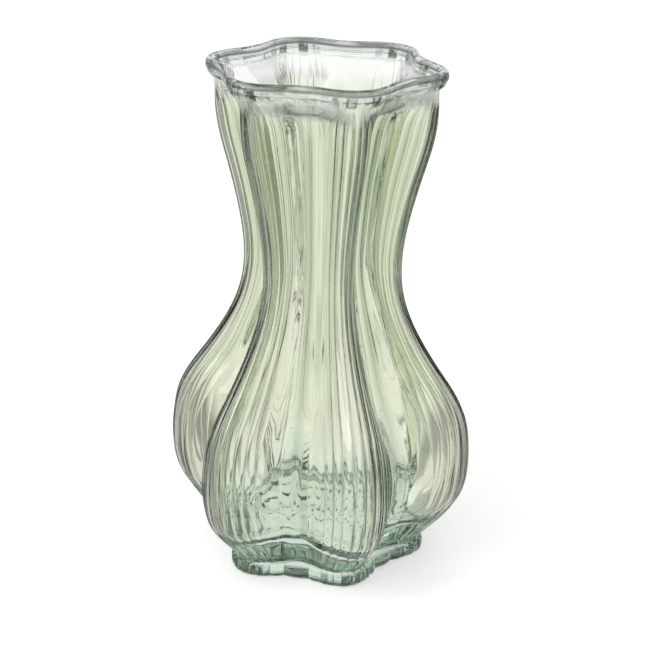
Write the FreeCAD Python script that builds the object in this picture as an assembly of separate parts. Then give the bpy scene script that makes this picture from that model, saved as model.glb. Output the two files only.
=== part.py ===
import FreeCAD, Part
import math
import os

# One-piece moulded glass vase: six deep upright lobes, a waisted neck, a six-pointed flared mouth with a
# stepped collar, and a low scalloped foot. The outside is fluted: every level has the same flute edges,
# so each flute runs unbroken from the foot to the lip. Millimetres, +Z up. The origin is the middle of
# the underside, and one lobe points along -Y.

# Driving dimensions
overall_height = 250.0
lobe_count = 6

# Foot: a low scalloped plinth with bevelled edges and a shallow hollow underneath
foot_height = 6.5
foot_tip_radius = 55.0
foot_hollow_radius = 45.4
foot_bevel = 1.0
underside_ring = 9.0
underside_depth = 1.5

# Heel: where the bulb grows out of the top of the foot
heel_height = 8.0
heel_tip_radius = 53.6
heel_hollow_radius = 38.6

# Bulb: the widest level
bulb_height = 50.0
bulb_tip_radius = 77.6
bulb_hollow_radius = 51.2

# Waist: the narrowest level
waist_height = 151.0
waist_tip_radius = 39.5
waist_hollow_radius = 25.4

# Top of the neck, where its hollows flare out under the collar
neck_tip_radius = 53.6
neck_hollow_radius = 41.0

# Collar and mouth: a lower band, a groove, a wider upper band and a round fire-polished lip
collar_height = 9.4
mouth_tip_radius = 57.8
mouth_hollow_radius = 49.4
collar_slope = 1.2
lower_band_height = 2.6
lower_band_setback = 1.4
groove_height = 0.8
groove_depth = 0.7
lip_radius = 2.4
lip_overhang = 0.8

# Glass thickness
wall = 4.0
bulb_lobe_wall = 6.5
neck_lobe_wall = 10.0
floor_height = 18.0
floor_corner = 5.0

# How much of its sixth of the round a lobe takes up at a level. Below 1, the hollow has a flat bottom.
full_lobe_share = 1.0
waist_lobe_share = 0.65
neck_lobe_share = 0.68
inner_narrowing_share = 0.06

# Shares of the run between two levels: height, tip radius, hollow radius, lobe share
heel_to_bulb_shares = ((0.17, 0.30, 0.31, 0.0), (0.51, 0.76, 0.74, 0.0))
bulb_to_waist_shares = ((0.26, 0.085, 0.18, 0.30), (0.50, 0.455, 0.50, 0.80), (0.76, 0.87, 0.81, 1.0))
waist_to_neck_shares = ((0.27, 0.19, 0.05, 0.05), (0.55, 0.64, 0.22, 0.10), (0.80, 0.99, 0.45, 0.30))
lip_turn_shares = (0.0, 0.25, 0.5, 0.75, 1.0)

# Edges on half a lobe, from its tip to the hollow: the flutes outside, and the plainer inside
flute_edge_shares = (0, 0.25, 0.47, 0.745)
inner_edge_shares = (0.14, 0.38, 0.66)


def depth_share(edge_share, lobe_share):
    """0 over a lobe's tip, 1 in the hollow."""
    return math.sin(min(1, edge_share / lobe_share) * math.pi / 2) ** 2


def lobed_wire(section, edge_shares=flute_edge_shares):
    """Closed outline of one level: (height, tip radius, hollow radius, lobe share)."""
    height, tip, hollow, lobe_share = section
    half_lobe = math.pi / lobe_count
    both_sides = [-share for share in reversed(edge_shares) if share] + list(edge_shares)
    points = []
    for lobe in range(lobe_count):
        for share in both_sides:
            angle = (2 * lobe + share) * half_lobe
            radius = tip - (tip - hollow) * depth_share(abs(share), lobe_share)
            points.append(FreeCAD.Vector(radius * math.sin(angle), -radius * math.cos(angle), height))
    return Part.makePolygon(points + points[:1])


def between(low, high, shares):
    """Levels part of the way from one level to the next."""
    levels = []
    for height_share, tip_share, hollow_share, lobe_run_share in shares:
        levels.append((
            low[0] + height_share * (high[0] - low[0]),
            low[1] + tip_share * (high[1] - low[1]),
            low[2] + hollow_share * (high[2] - low[2]),
            low[3] + lobe_run_share * (high[3] - low[3]),
        ))
    return levels


def skin(sections, ruled=False, edge_shares=flute_edge_shares):
    wires = [lobed_wire(section, edge_shares) for section in sections]
    return Part.makeLoft(wires, False, ruled, False).Faces


def flat_ring(outer_wire, inner_wire):
    return Part.Face(outer_wire).cut(Part.Face(inner_wire)).Faces


def body_levels():
    neck_height = overall_height - collar_height
    heel = (heel_height, heel_tip_radius, heel_hollow_radius, full_lobe_share)
    bulb = (bulb_height, bulb_tip_radius, bulb_hollow_radius, full_lobe_share)
    waist = (waist_height, waist_tip_radius, waist_hollow_radius, waist_lobe_share)
    neck = (neck_height, neck_tip_radius, neck_hollow_radius, neck_lobe_share)
    levels = [heel] + between(heel, bulb, heel_to_bulb_shares)
    levels += [bulb] + between(bulb, waist, bulb_to_waist_shares)
    levels += [waist] + between(waist, neck, waist_to_neck_shares)
    return levels + [neck]


def foot_level(height, inset):
    return (height, foot_tip_radius - inset, foot_hollow_radius - inset, full_lobe_share)


def foot_levels(heel):
    """Outside of the foot, from the surface it rests on up to the heel."""
    return [
        foot_level(0, foot_bevel),
        foot_level(foot_bevel, 0),
        foot_level(foot_height - foot_bevel, 0),
        foot_level(foot_height, foot_bevel),
        heel,
    ]


def underside_levels():
    """The shallow hollow inside the ring that the vase stands on."""
    ring = foot_bevel + underside_ring
    return [foot_level(0, ring), foot_level(underside_depth, ring + underside_depth)]


def collar_levels(neck):
    """Stepped outside of the collar, from the neck up to the start of the lip."""
    base = neck[0] + collar_slope
    groove = base + lower_band_height
    tip = mouth_tip_radius - lower_band_setback
    hollow = mouth_hollow_radius - lower_band_setback
    return [
        neck,
        (base, tip, hollow, full_lobe_share),
        (groove, tip, hollow, full_lobe_share),
        (groove + groove_height / 2, tip - groove_depth, hollow - groove_depth, full_lobe_share),
        (groove + groove_height, mouth_tip_radius, mouth_hollow_radius, full_lobe_share),
        (overall_height - lip_radius, mouth_tip_radius, mouth_hollow_radius, full_lobe_share),
    ]


def lip_levels():
    levels = []
    for share in lip_turn_shares:
        turn = math.pi * share
        inset = lip_radius * (1 - math.cos(turn))
        rise = lip_radius * math.sin(turn)
        levels.append((
            overall_height - lip_radius + rise,
            mouth_tip_radius - inset,
            mouth_hollow_radius - inset,
            full_lobe_share,
        ))
    return levels


def lobe_wall_at(height):
    """Radially, the glass gets thicker over the lobes from the bulb up to the waist, where they are keen."""
    rise_share = (height - bulb_height) / (waist_height - bulb_height)
    return bulb_lobe_wall + (neck_lobe_wall - bulb_lobe_wall) * max(0, min(1, rise_share))


def inside_levels(lip_end, body):
    """From under the lip down to the floor, a wall's thickness inside the body's own levels."""
    levels = [(lip_end[0], lip_end[1] + lip_overhang, lip_end[2] + lip_overhang, lip_end[3])]
    for height, tip, hollow, lobe_share in reversed(body[:-1]):
        if height > floor_height + floor_corner:
            inner_tip = tip - lobe_wall_at(height)
            levels.append((height, inner_tip, hollow - wall, lobe_share - inner_narrowing_share))
    lobe_share = levels[-1][3]
    tip = levels[-1][1] - floor_corner
    hollow = levels[-1][2] - floor_corner
    corner = (floor_height + floor_corner, tip, hollow, lobe_share)
    floor = (floor_height, tip - floor_corner, hollow - floor_corner, lobe_share)
    return levels + [corner, floor]


def vase():
    body = body_levels()
    foot = foot_levels(body[0])
    underside = underside_levels()
    collar = collar_levels(body[-1])
    lip = lip_levels()
    inside = inside_levels(lip[-1], body)
    faces = skin(foot, ruled=True) + skin(body) + skin(collar + lip[1:], ruled=True)
    faces += skin(inside, edge_shares=inner_edge_shares) + skin(underside, ruled=True)
    faces += flat_ring(lobed_wire(inside[0], inner_edge_shares), lobed_wire(lip[-1]))
    faces += flat_ring(lobed_wire(foot[0]), lobed_wire(underside[0]))
    faces.append(Part.Face(lobed_wire(underside[-1])))
    faces.append(Part.Face(lobed_wire(inside[-1], inner_edge_shares)))
    shell = Part.Shell(faces)
    shell.sewShape()
    return Part.Solid(shell)


def main():
    os.makedirs("parts", exist_ok=True)
    solid = vase()
    solid.exportStep("parts/vase.step")
    print("vase valid", solid.isValid(), "closed", solid.isClosed(), "faces", len(solid.Faces))
    print("volume mm3", round(solid.Volume))


main()
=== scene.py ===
import bpy
import math
import numpy as np
from mathutils import Euler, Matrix, Quaternion, Vector, noise


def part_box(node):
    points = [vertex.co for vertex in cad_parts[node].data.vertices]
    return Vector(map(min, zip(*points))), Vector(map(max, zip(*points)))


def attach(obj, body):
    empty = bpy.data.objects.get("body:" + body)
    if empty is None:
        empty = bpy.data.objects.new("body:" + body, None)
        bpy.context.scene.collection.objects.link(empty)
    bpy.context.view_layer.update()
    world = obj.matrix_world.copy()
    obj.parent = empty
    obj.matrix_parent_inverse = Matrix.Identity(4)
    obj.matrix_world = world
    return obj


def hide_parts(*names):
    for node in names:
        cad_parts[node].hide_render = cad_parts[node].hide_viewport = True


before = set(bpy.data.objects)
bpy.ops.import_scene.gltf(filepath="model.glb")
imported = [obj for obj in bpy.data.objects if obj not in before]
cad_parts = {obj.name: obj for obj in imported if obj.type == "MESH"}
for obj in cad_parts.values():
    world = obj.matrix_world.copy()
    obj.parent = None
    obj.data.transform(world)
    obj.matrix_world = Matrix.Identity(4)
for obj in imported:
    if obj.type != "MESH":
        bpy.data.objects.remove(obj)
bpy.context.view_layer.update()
vaseLow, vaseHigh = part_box("vase")
vaseHeight = vaseHigh[2] - vaseLow[2]
print("frame loaded, vase height", round(vaseHeight, 4))


# Shader maths

class Socket:
    # a value in a material, so that maths on it reads as maths
    def __init__(self, shader, link):
        self.shader = shader
        self.link = link

    def maths(self, operation, *values):
        return self.shader.node("ShaderNodeMath", {"operation": operation}, *values)

    def __add__(self, other):
        return self.maths("ADD", self, other)

    def __radd__(self, other):
        return self.maths("ADD", other, self)

    def __sub__(self, other):
        return self.maths("SUBTRACT", self, other)

    def __rsub__(self, other):
        return self.maths("SUBTRACT", other, self)

    def __mul__(self, other):
        return self.maths("MULTIPLY", self, other)

    def __rmul__(self, other):
        return self.maths("MULTIPLY", other, self)

    def __truediv__(self, other):
        return self.maths("DIVIDE", self, other)

    def __pow__(self, other):
        return self.maths("POWER", self, other)


class Shader:
    def __init__(self, tree):
        self.tree = tree
        tree.nodes.clear()

    def node(self, kind, settings=None, *inputs, out=0, **named):
        made = self.tree.nodes.new(kind)
        for name, value in (settings or {}).items():
            if name == "stops":
                self.setStops(made.color_ramp, value)
            else:
                setattr(made, name, value)
        for index, value in enumerate(inputs):
            self.feed(made.inputs[index], value)
        for name, value in named.items():
            self.feed(made.inputs[name.replace("_", " ")], value)
        if isinstance(out, tuple):
            return [Socket(self, made.outputs[each]) for each in out]
        return Socket(self, made.outputs[out]) if made.outputs else made

    def feed(self, socket, value):
        if isinstance(value, Socket):
            self.tree.links.new(value.link, socket)
        elif value is not None:
            socket.default_value = value

    def setStops(self, ramp, stops):
        while len(ramp.elements) < len(stops):
            ramp.elements.new(1.0)
        for element, (place, colour) in zip(ramp.elements, stops):
            element.position = place
            element.color = colour

    def mixColour(self, factor, first, second):
        # the sockets between the factor and the two colours are for numbers and vectors
        others = [None] * 5
        return self.node("ShaderNodeMix", {"data_type": "RGBA"}, factor, *others, first, second, out=2)


def clamped(value):
    return value.maths("MINIMUM", value.maths("MAXIMUM", value, 0), 1)


# Shape of the glass, in metres

vaseShape = {
    "lobes": 6,
    # height, radius over a lobe, radius in a hollow, all as shares of the vase's height, and how much of
    # its sixth of the round a lobe takes up
    "levels": (
        (0.032, 0.2144, 0.1544, 1.00),
        (0.0606, 0.2416, 0.1696, 1.00),
        (0.116, 0.2860, 0.1928, 1.00),
        (0.200, 0.3080, 0.2050, 1.00),
        (0.256, 0.3064, 0.1980, 0.96),
        (0.304, 0.2976, 0.1848, 0.90),
        (0.352, 0.2752, 0.1692, 0.80),
        (0.400, 0.2424, 0.1532, 0.72),
        (0.448, 0.2104, 0.1396, 0.69),
        (0.500, 0.1820, 0.1240, 0.69),
        (0.560, 0.1624, 0.1088, 0.70),
        (0.604, 0.1580, 0.1016, 0.70),
        (0.700, 0.1684, 0.1052, 0.70),
        (0.800, 0.1936, 0.1172, 0.70),
        (0.872, 0.2116, 0.1310, 0.71),
        (0.924, 0.2160, 0.1490, 0.75),
        (0.9624, 0.2150, 0.1830, 0.85),
    ),
    # the edges between flutes from the tip of a lobe to the hollow, as shares of half a lobe
    "facetEdges": (0.0, 0.125, 0.27, 0.377, 0.49, 0.745),
    # for each of those edges: how high its ridge is, the ridge's half width as a share of half a lobe, and
    # how dark the painted shade line along it is
    "ridgeLevels": (0.9, 1.1, 0.5, 0.7, 0.25, 0.1),
    "ridgeHalves": (0.017, 0.015, 0.010, 0.009, 0.009, 0.014),
    "ridgeShadeLines": (0.9, 1.0, 0.5, 0.7, 0.6, 0.5),
    "ridge": 0.0030,          # height of a ridge at level 1, as a share of the radius over a lobe
    "ridgePoints": (0.0, 0.35, 0.7, 1.0),    # places of its points, as shares of its half width
    "fluteLevels": (1.0, 1.2, 1.8, 1.8, 1.5, 0.3),    # how deep the flute after each edge is
    "flutePoints": (0.25, 0.5, 0.75),        # places of its points, as shares of its width
    "hollowing": 0.0002,      # how far a flute of level 1 is scooped below its chord
    "wall": 0.0036,
    "wallEvening": 2.0,       # the inside is evened out over this many degrees
    "floorTip": 0.0430,
    "floorHollow": 0.0310,
    "floorHeight": 0.018,
    "floorShares": (0.85, 0.7, 0.55, 0.4, 0.25, 0.1),    # rings of the floor, as shares of its radius
    "cornerHeight": 0.016,
    "cornerRings": 8,
    "rowStep": 0.0022,        # height from ring to ring outside
    "innerRowStep": 0.004,    # and inside
    # the inside is wavy below the first height, and most of all below the second
    "waveHeight": 0.055,
    "waveFull": 0.030,
    "waveDepth": 0.0009,
    "waveRates": (60, 60, 90),
    "waveSeed": 1,            # without a seed, every run would draw other waves
    "dimpleDepth": 0.0004,
    "dimpleRate": 190,
}

footShape = {
    "height": 0.0065,
    "tip": 0.0550,
    "hollow": 0.0454,
    "bevel": 0.0010,
    # across the bevel, in shares of it: how far up, how far back, and how proud the flutes are
    "bevelSteps": ((0, 1, 0), (0.3, 0.3, 0.5), (1, 0, 1)),
    "sideRings": 4,
    "bulge": 0.0014,
    "ridge": 0.0009,
    "ring": 0.009,            # width of the ring that the vase stands on
    "undersideDepth": 0.0015,
    # rings from near the middle of the underside to its step, as shares of its radius, and of the step
    "undersideShares": (0.1, 0.97),
    "undersideRings": 25,
    "stepRings": 4,
    "ripples": 4,             # rings pressed into the underside
    "rippleDepth": 0.00012,
    "stippleDepth": 0.0004,
    "stippleRate": 230,
    # painted shade on the foot: how dark each of its flutes is, by turns
    "blockShadeLevels": (0.1, 0.8, 0.3, 0.0, 0.9, 0.2, 0.6, 0.0, 0.4, 0.1, 0.7, 0.0, 0.5),
    "blockTurn": 4,           # each lobe starts this much further on in that list
}

collarShape = {
    "height": 0.0094,
    "tip": 0.0578,
    "hollow": 0.0494,
    "slope": 0.0012,          # height of the sweep from the neck out to the lower band
    "slopeRings": 7,
    "edgeRound": 0.0007,      # rounding of the lower band's bottom edge
    "edgeRings": 3,
    "lowerBand": 0.0026,
    "setback": 0.0014,        # how far the lower band stands back from the upper
    "lean": 0.0007,           # and how much further its bottom edge does
    "groove": 0.0008,
    "grooveDepth": 0.0007,
    # the bands' corners at the groove are cut this far below it and above it, and this far in
    "cornerDrop": 0.0006,
    "cornerRise": 0.0007,
    "cornerEase": 0.0002,
    "swell": 0.0001,          # the upper band is this much proud in its middle
    "bulge": 0.0005,
    "lipRadius": 0.0024,
    "lipRings": 13,
    "overhang": 0.0009,       # how far the lip stands inside the wall under it
    # under the lip inside: how far down, and the share of the overhang
    "overhangSteps": ((0.0007, 0.4), (0.0014, 0.8), (0.0022, 1)),
    "flare": 0.0190,          # below this far from the top, the wall is even
    "flareTop": 0.0066,       # and above this far from the top, it is upright inside
    "flareRings": 10,
    "flareRound": 0.06,       # how far its ends are rounded, as a share of its run
    # painted shade on the short ribs under the lip: how dark it is on each edge and on the flute after it
    "ribShadeLevels": (0.5, 2.0, 2.0, 1.0, 0.3, 0.2),
    "ribShades": (0.1, 1.8, 0.2, 0.9, 0.0, 0.0),
}


def naturalSpline(places, values):
    # second derivatives of the natural cubic through the values
    count = len(places)
    gaps = np.diff(places)
    matrix = np.eye(count)
    right = np.zeros(count)
    for i in range(1, count - 1):
        matrix[i, i - 1:i + 2] = gaps[i - 1], 2 * (gaps[i - 1] + gaps[i]), gaps[i]
        slopeBefore = (values[i] - values[i - 1]) / gaps[i - 1]
        slopeAfter = (values[i + 1] - values[i]) / gaps[i]
        right[i] = 6 * (slopeAfter - slopeBefore)
    return np.linalg.solve(matrix, right)


def alongSpline(places, values, bends, place):
    i = int(np.clip(np.searchsorted(places, place) - 1, 0, len(places) - 2))
    gap = places[i + 1] - places[i]
    before = (places[i + 1] - place) / gap
    after = (place - places[i]) / gap
    curve = ((before ** 3 - before) * bends[i] + (after ** 3 - after) * bends[i + 1]) * gap ** 2 / 6
    return before * values[i] + after * values[i + 1] + curve


class Body:
    # radius over a lobe, radius in a hollow and width of a lobe at any height
    def __init__(self):
        levels = np.array(vaseShape["levels"])
        levels[:, :3] *= vaseHeight
        self.places = levels[:, 0]
        self.curves = [(levels[:, i], naturalSpline(self.places, levels[:, i])) for i in (1, 2, 3)]

    def at(self, height):
        return [alongSpline(self.places, values, bends, height) for values, bends in self.curves]


def lobedRadius(share, tip, hollow, lobe):
    return tip - (tip - hollow) * np.sin(np.minimum(1, share / lobe) * math.pi / 2) ** 2


def folded(share):
    # a share of half a lobe, counted from the tip of the nearest lobe
    share = abs(share)
    return round(2 - share, 6) if share > 1 else share


def byEdge(values):
    return dict(zip(vaseShape["facetEdges"], values))


class Columns:
    # the upright lines of points round the vase: each flute has the same few
    def __init__(self):
        self.halfLobe = math.pi / vaseShape["lobes"]
        half = vaseShape["facetEdges"]
        edges = [-share for share in reversed(half) if share] + list(half)
        ends = edges + [2 + edges[0]]
        rows = []
        for lobe in range(vaseShape["lobes"]):
            for flute, (first, second) in enumerate(zip(ends[:-1], ends[1:])):
                rows += self.fluteRows(lobe, flute, first, second)
        (self.angle, self.low, self.high, self.place, self.fromEdge, self.keen, self.line, self.scoop,
         self.rib, self.ribShade, self.block) = np.array(rows).T
        self.width = (np.roll(self.angle, -1) - np.roll(self.angle, 1)) % (2 * math.pi)
        self.fromTip = np.abs((self.angle / self.halfLobe + 1) % 2 - 1)

    def fluteRows(self, lobe, flute, first, second):
        # a few points across the ridge at each end of the flute, and a few between
        halves = byEdge(vaseShape["ridgeHalves"])
        span = second - first
        low = folded(first)
        high = folded(second)
        ridgePoints = vaseShape["ridgePoints"]
        steps = [(halves[low] * part, low, part) for part in ridgePoints]
        steps += [(span * part, low, 1) for part in vaseShape["flutePoints"]]
        steps += [(span - halves[high] * part, high, part) for part in reversed(ridgePoints[1:])]
        scoop = byEdge(vaseShape["fluteLevels"])[min(low, high)]
        ribShade = byEdge(collarShape["ribShades"])[min(low, high)]
        blocks = footShape["blockShadeLevels"]
        block = blocks[(flute + footShape["blockTurn"] * lobe) % len(blocks)]
        rows = []
        for step, edge, part in steps:
            angle = (2 * lobe + first + step) * self.halfLobe
            keen = byEdge(vaseShape["ridgeLevels"])[edge]
            line = byEdge(vaseShape["ridgeShadeLines"])[edge]
            rib = byEdge(collarShape["ribShadeLevels"])[edge]
            rows.append((angle, first, second, step / span, part, keen, line, scoop, rib, ribShade, block))
        return rows

    def outline(self, tip, hollow, lobe, bulge, ridge=0):
        # flutes: chords between shared edges, each proud or scooped in its middle, with ridges between
        ends = []
        for share in (self.low, self.high):
            fromTip = np.where(share > 1, 2 - share, np.abs(share))
            ends.append(lobedRadius(fromTip, tip, hollow, lobe))
        span = (self.high - self.low) * self.halfLobe
        part = span * self.place
        chord = ends[0] * ends[1] * np.sin(span) / (ends[0] * np.sin(part) + ends[1] * np.sin(span - part))
        depth = bulge * (self.scoop if bulge < 0 else 1)
        near = (1 - self.fromEdge ** 2) ** 2 * self.keen
        return chord + depth * 4 * self.place * (1 - self.place) + (near - 1) * ridge

    def smooth(self, tip, hollow, lobe):
        return lobedRadius(self.fromTip, tip, hollow, lobe)


def ring(columns, height, radius):
    heights = np.full(len(radius), height)
    return np.stack([radius * np.sin(columns.angle), -radius * np.cos(columns.angle), heights], axis=1)


def undersideRings(columns):
    # the rippled, stippled middle, and the step down to the ring that the vase stands on
    foot = footShape
    inset = foot["bevel"] + foot["ring"]
    rim = columns.smooth(foot["tip"] - inset, foot["hollow"] - inset, 1)
    depth = foot["undersideDepth"]
    rings = []
    for share in np.linspace(*foot["undersideShares"], foot["undersideRings"]):
        height = depth - foot["rippleDepth"] * math.sin(share * foot["ripples"] * 2 * math.pi)
        points = ring(columns, height, (rim - depth) * share)
        for point in points:
            point[2] += foot["stippleDepth"] * noise.noise(Vector(point) * foot["stippleRate"])
        rings.append(points)
    for rise in np.linspace(1, 0, foot["stepRings"]):
        rings.append(ring(columns, depth * rise, rim - depth * rise))
    return rings


def footRings(columns):
    foot = footShape
    bevel = foot["bevel"]
    top = foot["height"]
    steps = [(bevel * up, bevel * back, proud) for up, back, proud in foot["bevelSteps"]]
    steps += [(height, 0, 1) for height in np.linspace(bevel, top - bevel, foot["sideRings"] + 1)[1:]]
    for down, back, proud in reversed(foot["bevelSteps"][:-1]):
        steps.append((top - bevel * down, bevel * back, proud))
    rings = []
    for height, back, proud in steps:
        radius = columns.outline(foot["tip"], foot["hollow"], 1, foot["bulge"] * proud, foot["ridge"])
        rings.append(ring(columns, height, radius - back))
    return rings


def bodyOutline(columns, body, height):
    tip, hollow, lobe = body.at(height)
    return columns.outline(tip, hollow, lobe, -vaseShape["hollowing"], tip * vaseShape["ridge"])


def bodyRings(columns, body):
    low = body.places[0]
    high = body.places[-1]
    heights = np.linspace(low, high, round((high - low) / vaseShape["rowStep"]) + 1)
    return [ring(columns, height, bodyOutline(columns, body, height)) for height in heights]


def collarRings(columns, neck):
    collar = collarShape
    neckHeight = vaseHeight - collar["height"]
    base = neckHeight + collar["slope"]
    top = base + collar["lowerBand"]
    upper = top + collar["groove"]
    lipStart = vaseHeight - collar["lipRadius"]
    setback = collar["setback"]
    edge = collar["edgeRound"]
    ease = collar["cornerEase"]

    def collarOutline(proud):
        return columns.outline(collar["tip"], collar["hollow"], 1, collar["bulge"] * proud)

    # the underside sweeps out from the neck and turns up into the lower band
    band = collarOutline(1) - setback - collar["lean"]
    rings = []
    for turn in np.linspace(0, math.pi / 2, collar["slopeRings"] + 1)[1:]:
        radius = neck + (band - edge - neck) * (1 - math.cos(turn))
        rings.append(ring(columns, neckHeight + collar["slope"] * math.sin(turn), radius))
    for turn in np.linspace(0, math.pi / 2, collar["edgeRings"] + 2)[1:-1]:
        rings.append(ring(columns, base + edge * (1 - math.cos(turn)), band - edge * (1 - math.sin(turn))))
    # height, how far back from the upper band, and how proud the ribs are
    steps = (
        (base + edge, setback + collar["lean"], 1),
        (top - collar["cornerDrop"], setback - ease, 1),
        (top, setback + ease, 0.6),
        (top + collar["groove"] / 2, setback + collar["grooveDepth"], 0.2),
        (upper, ease, 0.2),
        (upper + collar["cornerRise"], 0, 0.2),
        ((upper + lipStart) / 2, -collar["swell"], 0.1),
    )
    for height, back, proud in steps:
        rings.append(ring(columns, height, collarOutline(proud) - back))
    # the lip turns over from the fluted outside to the smooth inside
    fluted = collarOutline(0)
    smooth = columns.smooth(collar["tip"], collar["hollow"], 1)
    for part in np.linspace(0, 1, collar["lipRings"]):
        turn = part * math.pi
        radius = fluted * (1 - part) + smooth * part - collar["lipRadius"] * (1 - math.cos(turn))
        rings.append(ring(columns, lipStart + collar["lipRadius"] * math.sin(turn), radius))
    return rings


def offsetInwards(columns, radius, wall):
    # the outline a wall's thickness inside another: along each column, the first point that a disc of
    # that size round any point of the outline reaches
    turn = columns.angle[:, None] - columns.angle[None, :]
    aside = radius[None, :] * np.sin(turn)
    ahead = radius[None, :] * np.cos(turn)
    near = (np.abs(aside) < wall) & (ahead > 0)
    reach = np.where(near, ahead - np.sqrt(np.maximum(wall ** 2 - aside ** 2, 0)), np.inf)
    return reach.min(axis=1)


def softened(columns, radius, spread):
    # evens out an outline over a few degrees either way
    turn = (columns.angle[:, None] - columns.angle[None, :] + math.pi) % (2 * math.pi) - math.pi
    weight = np.exp(-(turn / math.radians(spread)) ** 2) * columns.width[None, :]
    return (weight * radius[None, :]).sum(axis=1) / weight.sum(axis=1)


def wavy(points):
    # the hot glass sank a little unevenly on the floor and low on the wall
    shape = vaseShape
    moved = points.copy()
    for i, (x, y, z) in enumerate(points):
        part = 1 - (z - shape["waveFull"]) / (shape["waveHeight"] - shape["waveFull"])
        part = max(0, min(1, part))
        if part > 0:
            push = noise.noise_vector([at * rate for at, rate in zip((x, y, z), shape["waveRates"])])
            dimple = noise.noise_vector([at * shape["dimpleRate"] for at in (x, y, z)])
            moved[i] += np.array(push) * shape["waveDepth"] * part
            moved[i] += np.array(dimple) * shape["dimpleDepth"] * part * part
    return moved


def insideRings(columns, body):
    shape = vaseShape
    collar = collarShape
    lipInset = 2 * collar["lipRadius"]
    lipHeight = vaseHeight - collar["lipRadius"]
    lip = columns.smooth(collar["tip"] - lipInset, collar["hollow"] - lipInset, 1)
    wide = lip + collar["overhang"]
    flareTop = vaseHeight - collar["flareTop"]
    flareEnd = vaseHeight - collar["flare"]
    cornerTop = shape["floorHeight"] + shape["cornerHeight"]
    floor = columns.smooth(shape["floorTip"], shape["floorHollow"], 1)

    def inner(height):
        even = offsetInwards(columns, columns.smooth(*body.at(height)), shape["wall"])
        return softened(columns, even, shape["wallEvening"])

    rings = []
    for drop, out in collar["overhangSteps"]:
        rings.append(ring(columns, lipHeight - drop, lip + collar["overhang"] * out))
    # straight down the flare, with its ends rounded
    join = inner(flareEnd)
    for part in np.linspace(0, 1, collar["flareRings"] + 1)[:-1]:
        out = 1 - part
        out = out - collar["flareRound"] * math.sin(2 * math.pi * out)
        rings.append(ring(columns, flareTop - (flareTop - flareEnd) * part, join + (wide - join) * out))
    count = round((flareEnd - cornerTop) / shape["innerRowStep"])
    for height in np.linspace(flareEnd, cornerTop, count + 1):
        rings.append(ring(columns, height, inner(height)))
    # round the corner into the floor
    last = inner(cornerTop)
    for turn in np.linspace(0, math.pi / 2, shape["cornerRings"] + 1)[1:]:
        height = cornerTop - shape["cornerHeight"] * math.sin(turn)
        rings.append(ring(columns, height, floor + (last - floor) * math.cos(turn)))
    for share in shape["floorShares"]:
        rings.append(ring(columns, shape["floorHeight"], floor * share))
    noise.seed_set(shape["waveSeed"])
    return [wavy(points) for points in rings]


# Glass

glassLook = {
    # tint of the surface at heights up the vase, as shares of its height, with a painted shade line under
    # the lip
    "tints": (
        (0.0, (0.92, 0.96, 0.94)),
        (0.0075, (0.92, 0.96, 0.94)),
        (0.011, (0.60, 0.74, 0.64)),
        (0.028, (0.62, 0.76, 0.66)),
        (0.06, (0.925, 0.955, 0.90)),
        (0.16, (0.935, 0.952, 0.845)),
        (0.90, (0.925, 0.947, 0.83)),
        (0.95, (0.93, 0.96, 0.90)),
        (0.9880, (0.88, 0.92, 0.89)),
        # painted shade: the dark line under the lip
        (0.9895, (0.03, 0.04, 0.03)),
        (0.9916, (0.03, 0.04, 0.03)),
        (0.9945, (0.55, 0.58, 0.56)),
        (0.9965, (0.86, 0.87, 0.88)),
        (1.0, (0.92, 0.92, 0.94)),
    ),
    # how much of the light the surface bends, at shares of the height
    "clearness": (
        (0.022, 1.0), (0.027, 0.55), (0.034, 0.55), (0.042, 1.0),
        (0.925, 1.0), (0.940, 0.45), (0.9665, 0.35), (0.972, 1.0),
    ),
    "blockShade": 0.95,       # how far the darkest block of painted shade on the foot takes the tint down
    # how strong the painted shade lines along the foot's ridges are
    "footShadeLine": 1.5,
    "wideLine": 1.6,          # how much wider the lines are on the foot and the collar
    "flankShadeTint": (0.42, 0.50, 0.38),     # painted shade: what the steep sides of the lobes take the tint down to, for the dark bands of edge-on glass
    "flankRange": (0.86, 0.985),         # from nearly steep to steepest, as the sine of the lean
    "valleyShadeTint": (0.34, 0.44, 0.33),    # painted shade in the hollows between two lobes
    "valleyStart": 0.80,                 # where it begins, as a share of half a lobe
    # how strong that painted shade is at heights up the vase
    "valleyShadeLevels": ((0.10, 0.0), (0.30, 0.6), (0.45, 1.0), (0.88, 1.0), (0.93, 0.0)),
    "roughness": 0.0,
    "ior": 1.5,
    "depthTint": (0.25, 0.50, 0.30, 1),
    "depthDensity": 15.0,
    # painted shade: the dark lines along the ridges stand in for the dark that the ridges refract
    "lineShadeTint": (0.015, 0.030, 0.018, 1),
    "lineShadeLevels": (0.08, 1.0),    # how strong the painted shade lines are on open glass and on the sides of the lobes
    # speckles break the lines up
    "speckleScale": (260, 260, 45),
    "speckleDetail": 3.0,
    "speckleStart": 0.42,
    "speckleGain": 5,
    "speckleLeast": 0.3,
}


def flankShare(points):
    # 0 where the glass faces outwards, 1 where it runs steeply inwards down the side of a lobe
    step = (np.roll(points, -1, axis=0) - np.roll(points, 1, axis=0))[:, :2]
    outwards = points[:, :2] / np.hypot(points[:, 0], points[:, 1])[:, None]
    lean = np.abs((step * outwards).sum(axis=1)) / np.hypot(step[:, 0], step[:, 1])
    low, high = glassLook["flankRange"]
    share = np.clip((lean - low) / (high - low), 0, 1)
    return share * share * (3 - 2 * share)


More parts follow.
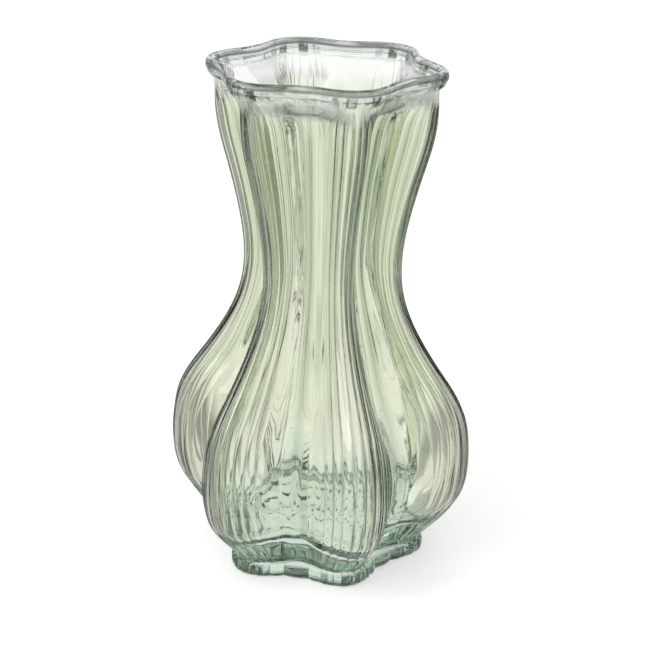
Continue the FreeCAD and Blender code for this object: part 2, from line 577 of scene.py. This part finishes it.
class Paint:
    # what the material reads at each point: the painted shade lines, the tint with its painted shade, and
    # how far the glass bends light
    def __init__(self, columns):
        look = glassLook
        nearEdge = 1 - columns.fromEdge
        wide = np.minimum(1, look["wideLine"] * nearEdge)
        self.ridges = nearEdge * columns.line
        self.ribs = np.maximum(wide * columns.rib, columns.ribShade)
        self.footShadeLines = wide * look["footShadeLine"]
        self.blocks = 1 - look["blockShade"] * columns.block
        self.valley = np.clip((columns.fromTip - look["valleyStart"]) / (1 - look["valleyStart"]), 0, 1)
        self.collar = (1 - collarShape["height"] / vaseHeight, 1 - collarShape["lipRadius"] / vaseHeight)

    def shadeLineAt(self, points, zone):
        middle = float((points[:, 2] / vaseHeight).mean())
        if zone == "inside":
            return self.ridges * 0
        if self.collar[0] < middle < self.collar[1]:
            return self.ribs
        if zone == "foot":
            return self.footShadeLines
        low, high = glassLook["lineShadeLevels"]
        return self.ridges * (low + (high - low) * flankShare(points))

    def tintAt(self, points, zone):
        look = glassLook
        share = points[:, 2] / vaseHeight
        heights, colours = zip(*look["tints"])
        tint = np.stack([np.interp(share, heights, channel) for channel in zip(*colours)], axis=1)
        if zone != "inside":
            # painted shade: the steep sides of the lobes and the hollows between them are darkened
            hollowShade = self.valley * np.interp(share.mean(), *zip(*look["valleyShadeLevels"]))
            for part, darker in ((flankShare(points), look["flankShadeTint"]), (hollowShade, look["valleyShadeTint"])):
                tint = tint * (1 - part[:, None] * (1 - np.array(darker)))
        if zone == "foot":
            tint = tint * self.blocks[:, None]
        return np.concatenate([tint, np.ones((len(tint), 1))], axis=1)

    def bendAt(self, points):
        return np.interp(points[:, 2] / vaseHeight, *zip(*glassLook["clearness"]))


def addAttribute(mesh, name, kind, key, values):
    layer = mesh.attributes.new(name, kind, "POINT")
    layer.data.foreach_set(key, np.concatenate(values).ravel())


def paintGlass(mesh, columns, zones):
    # zones: the rings and the part of the vase that they belong to, in the mesh's order
    paint = Paint(columns)
    rings = [(points, zone) for zone, part in zones for points in part]
    # the middles of the underside and of the floor come last
    middleTint = np.ones((2, 4))
    middleTint[:, :3] = glassLook["tints"][0][1]
    addAttribute(mesh, "ridgeLine", "FLOAT", "value",
                 [paint.shadeLineAt(points, zone) for points, zone in rings] + [np.zeros(2)])
    addAttribute(mesh, "glassBody", "FLOAT", "value",
                 [paint.bendAt(points) for points, zone in rings] + [np.ones(2)])
    addAttribute(mesh, "glassTint", "FLOAT_COLOR", "color",
                 [paint.tintAt(points, zone) for points, zone in rings] + [middleTint])


def skinFaces(ringCount, across):
    # four-sided faces between rings, and a fan at each end round a middle point
    faces = []
    for row in range(ringCount - 1):
        start = row * across
        for column in range(across):
            after = (column + 1) % across
            faces.append((start + column, start + after, start + across + after, start + across + column))
    middle = ringCount * across
    last = middle - across
    faces += [(middle, (column + 1) % across, column) for column in range(across)]
    faces += [(middle + 1, last + column, last + (column + 1) % across) for column in range(across)]
    return faces


def makeVase():
    columns = Columns()
    body = Body()
    neck = bodyOutline(columns, body, body.places[-1])
    foot = footRings(columns)
    zones = (
        ("underside", undersideRings(columns)),
        ("foot", foot[:-1]),
        # the blocks of painted shade end below the foot's top edge
        ("body", foot[-1:] + bodyRings(columns, body) + collarRings(columns, neck)),
        ("inside", insideRings(columns, body)),
    )
    rings = [points for zone, part in zones for points in part]
    middles = [(0.0, 0.0, footShape["undersideDepth"]), (0.0, 0.0, vaseShape["floorHeight"])]
    points = [tuple(point) for point in np.concatenate(rings)] + middles
    mesh = bpy.data.meshes.new("glassVase")
    mesh.from_pydata(points, [], skinFaces(len(rings), len(columns.angle)))
    mesh.validate()
    mesh.update()
    for polygon in mesh.polygons:
        polygon.use_smooth = True
    paintGlass(mesh, columns, zones)
    vase = bpy.data.objects.new("glassVase", mesh)
    bpy.context.scene.collection.objects.link(vase)
    print("glass vase", len(mesh.polygons), "faces")
    return vase


def glassMaterial():
    look = glassLook
    material = bpy.data.materials.new("sageGlass")
    material.use_nodes = True
    shader = Shader(material.node_tree)
    line = shader.node("ShaderNodeAttribute", {"attribute_name": "ridgeLine"}, out=2)
    tint = shader.node("ShaderNodeAttribute", {"attribute_name": "glassTint"})
    bend = shader.node("ShaderNodeAttribute", {"attribute_name": "glassBody"}, out=2)
    place = shader.node("ShaderNodeMapping", {"vector_type": "POINT"},
                        shader.node("ShaderNodeTexCoord", None, out=3), Scale=look["speckleScale"])
    speckle = shader.node("ShaderNodeTexNoise", None, place, Scale=1.0, Detail=look["speckleDetail"])
    broken = clamped((speckle - look["speckleStart"]) * look["speckleGain"])
    broken = look["speckleLeast"] + (1 - look["speckleLeast"]) * broken
    # the painted shade lines darken the tint, broken up by the speckles
    tint = shader.mixColour(line * broken, tint, look["lineShadeTint"])
    glass = shader.node("ShaderNodeBsdfPrincipled", None, Base_Color=tint, Alpha=bend,
                        Roughness=look["roughness"], IOR=look["ior"], Transmission_Weight=1.0)
    depth = shader.node("ShaderNodeVolumeAbsorption", None, Color=look["depthTint"],
                        Density=look["depthDensity"])
    shader.node("ShaderNodeOutputMaterial", None, glass, depth)
    return material


# Stage

stageLook = {
    "floorRadius": 3.0,
    "floorSides": 64,
    "floorDrop": 0.0001,      # the floor lies this far below the foot
    "floorColour": (0.8, 0.8, 0.8, 1),
    "floorGlow": 0.45,
    "whiteUnder": 0.125,      # close under the vase the floor is white all round, fading out by here
    "skyLevel": 0.9,
    # brightness of the surroundings at degrees round from the far side, to the camera's left and right
    "around": (
        (-180, 0.80), (-134, 0.80), (-126, 0.03), (-114, 0.03), (-106, 0.60), (-86, 0.60), (-80, 0.03),
        (-66, 0.03), (-60, 0.85), (-42, 0.85), (-37, 0.35), (-28, 0.35), (-21, 1.0), (22, 1.0),
        (30, 0.35), (36, 0.35), (42, 0.85), (58, 0.85), (64, 0.03), (80, 0.03), (86, 0.60), (106, 0.60),
        (114, 0.03), (126, 0.03), (134, 0.80), (180, 0.80),
    ),
    "sideTop": (0.55, 0.80),      # height at which the dark sides end, as the sine of its angle
}

stripLight = {
    "side": -64,              # degrees to the camera's right
    "away": 0.9,
    "height": 0.85,
    "size": (0.35, 1.50),
    "power": 6.0,
}

cameraPlace = {
    "distance": 2.9951,       # shares of the vase's height
    "height": 1.6976,
    "azimuth": -17.7,
    "pitch": 22.08,
    "roll": 1.17,
    "lens": 88.45,
    "sensor": 36,
    "shift": (0.01755, -0.0194),
}


def rayKinds(shader):
    return shader.node("ShaderNodeLightPath", out=("Is Camera Ray", "Is Glossy Ray", "Is Transmission Ray"))


def splitVector(shader, vector):
    return shader.node("ShaderNodeSeparateXYZ", None, vector, out=("X", "Y", "Z"))


def greyOf(shader, level):
    return shader.node("ShaderNodeCombineColor", None, level, level, level)


def aroundLevel(shader, x, y):
    # white cards in front and behind, and narrower ones between dark gaps to the sides
    turn = math.radians(cameraPlace["azimuth"])
    along = y * math.cos(turn) - x * math.sin(turn)
    aside = x * math.cos(turn) + y * math.sin(turn)
    place = aside.maths("ARCTAN2", aside, along) / (2 * math.pi) + 0.5
    stops = [(degrees / 360 + 0.5, (level, level, level, 1)) for degrees, level in stageLook["around"]]
    return shader.node("ShaderNodeValToRGB", {"stops": stops}, place)


def makeFloor():
    radius = stageLook["floorRadius"]
    count = stageLook["floorSides"]
    points = [(0, 0, 0)]
    for i in range(count):
        turn = 2 * math.pi * i / count
        points.append((radius * math.cos(turn), radius * math.sin(turn), 0))
    mesh = bpy.data.meshes.new("floor")
    mesh.from_pydata(points, [], [(0, i + 1, (i + 1) % count + 1) for i in range(count)])
    floor = bpy.data.objects.new("floor", mesh)
    floor.location.z = vaseLow[2] - stageLook["floorDrop"]
    bpy.context.scene.collection.objects.link(floor)
    floor.data.materials.append(floorMaterial())


def floorMaterial():
    material = bpy.data.materials.new("paleFloor")
    material.use_nodes = True
    shader = Shader(material.node_tree)
    camera, glossy, through = rayKinds(shader)
    paper = shader.node("ShaderNodeBsdfDiffuse", None, stageLook["floorColour"])
    glow = shader.node("ShaderNodeEmission", None, (1, 1, 1, 1), stageLook["floorGlow"])
    seen = shader.node("ShaderNodeAddShader", None, paper, glow)
    x, y, _ = splitVector(shader, shader.node("ShaderNodeNewGeometry"))
    under = clamped(1 - (x * x + y * y) ** 0.5 / stageLook["whiteUnder"])
    around = aroundLevel(shader, x, y)
    refracted = shader.node("ShaderNodeEmission", None, greyOf(shader, around + (1 - around) * under), 1.0)
    direct = shader.node("ShaderNodeMixShader", None, camera, paper, seen)
    mixed = shader.node("ShaderNodeMixShader", None, glossy + through - camera, direct, refracted)
    shader.node("ShaderNodeOutputMaterial", None, mixed)
    return material


def makeWorld():
    world = bpy.data.worlds.new("studio")
    bpy.context.scene.world = world
    world.use_nodes = True
    shader = Shader(world.node_tree)
    camera, _, _ = rayKinds(shader)
    x, y, z = splitVector(shader, shader.node("ShaderNodeTexCoord"))
    low, high = stageLook["sideTop"]
    overhead = clamped((z - low) / (high - low))
    around = aroundLevel(shader, x, y)
    level = (around + (1 - around) * overhead) * stageLook["skyLevel"]
    shown = greyOf(shader, camera + (1 - camera) * level)
    shader.node("ShaderNodeOutputWorld", None, shader.node("ShaderNodeBackground", None, shown, 1.0))


def makeStripLight():
    data = bpy.data.lights.new("stripLight", "AREA")
    data.shape = "RECTANGLE"
    data.size, data.size_y = stripLight["size"]
    data.energy = stripLight["power"]
    lamp = bpy.data.objects.new("stripLight", data)
    turn = math.radians(cameraPlace["azimuth"] + stripLight["side"])
    away = stripLight["away"]
    lamp.location = (away * math.sin(turn), -away * math.cos(turn), stripLight["height"])
    aim = Vector((0, 0, vaseHeight / 2)) - lamp.location
    lamp.rotation_mode = "QUATERNION"
    lamp.rotation_quaternion = aim.to_track_quat("-Z", "Y")
    bpy.context.scene.collection.objects.link(lamp)


def makeCamera():
    place = cameraPlace
    data = bpy.data.cameras.new("camera")
    data.lens = place["lens"]
    data.sensor_width = place["sensor"]
    data.shift_x, data.shift_y = place["shift"]
    camera = bpy.data.objects.new("camera", data)
    turn = math.radians(place["azimuth"])
    away = place["distance"]
    camera.location = Vector((away * math.sin(turn), -away * math.cos(turn), place["height"])) * vaseHeight
    look = Euler((math.radians(90 - place["pitch"]), 0, turn)).to_quaternion()
    camera.rotation_mode = "QUATERNION"
    camera.rotation_quaternion = look @ Quaternion((0, 0, 1), math.radians(place["roll"]))
    bpy.context.scene.collection.objects.link(camera)
    bpy.context.scene.camera = camera


vase = makeVase()
vase.data.materials.append(glassMaterial())
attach(vase, "root")
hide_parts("vase")
print("glass ready")
makeFloor()
makeWorld()
makeStripLight()
makeCamera()
bpy.context.scene.view_settings.view_transform = "Standard"
print("stage and camera ready")
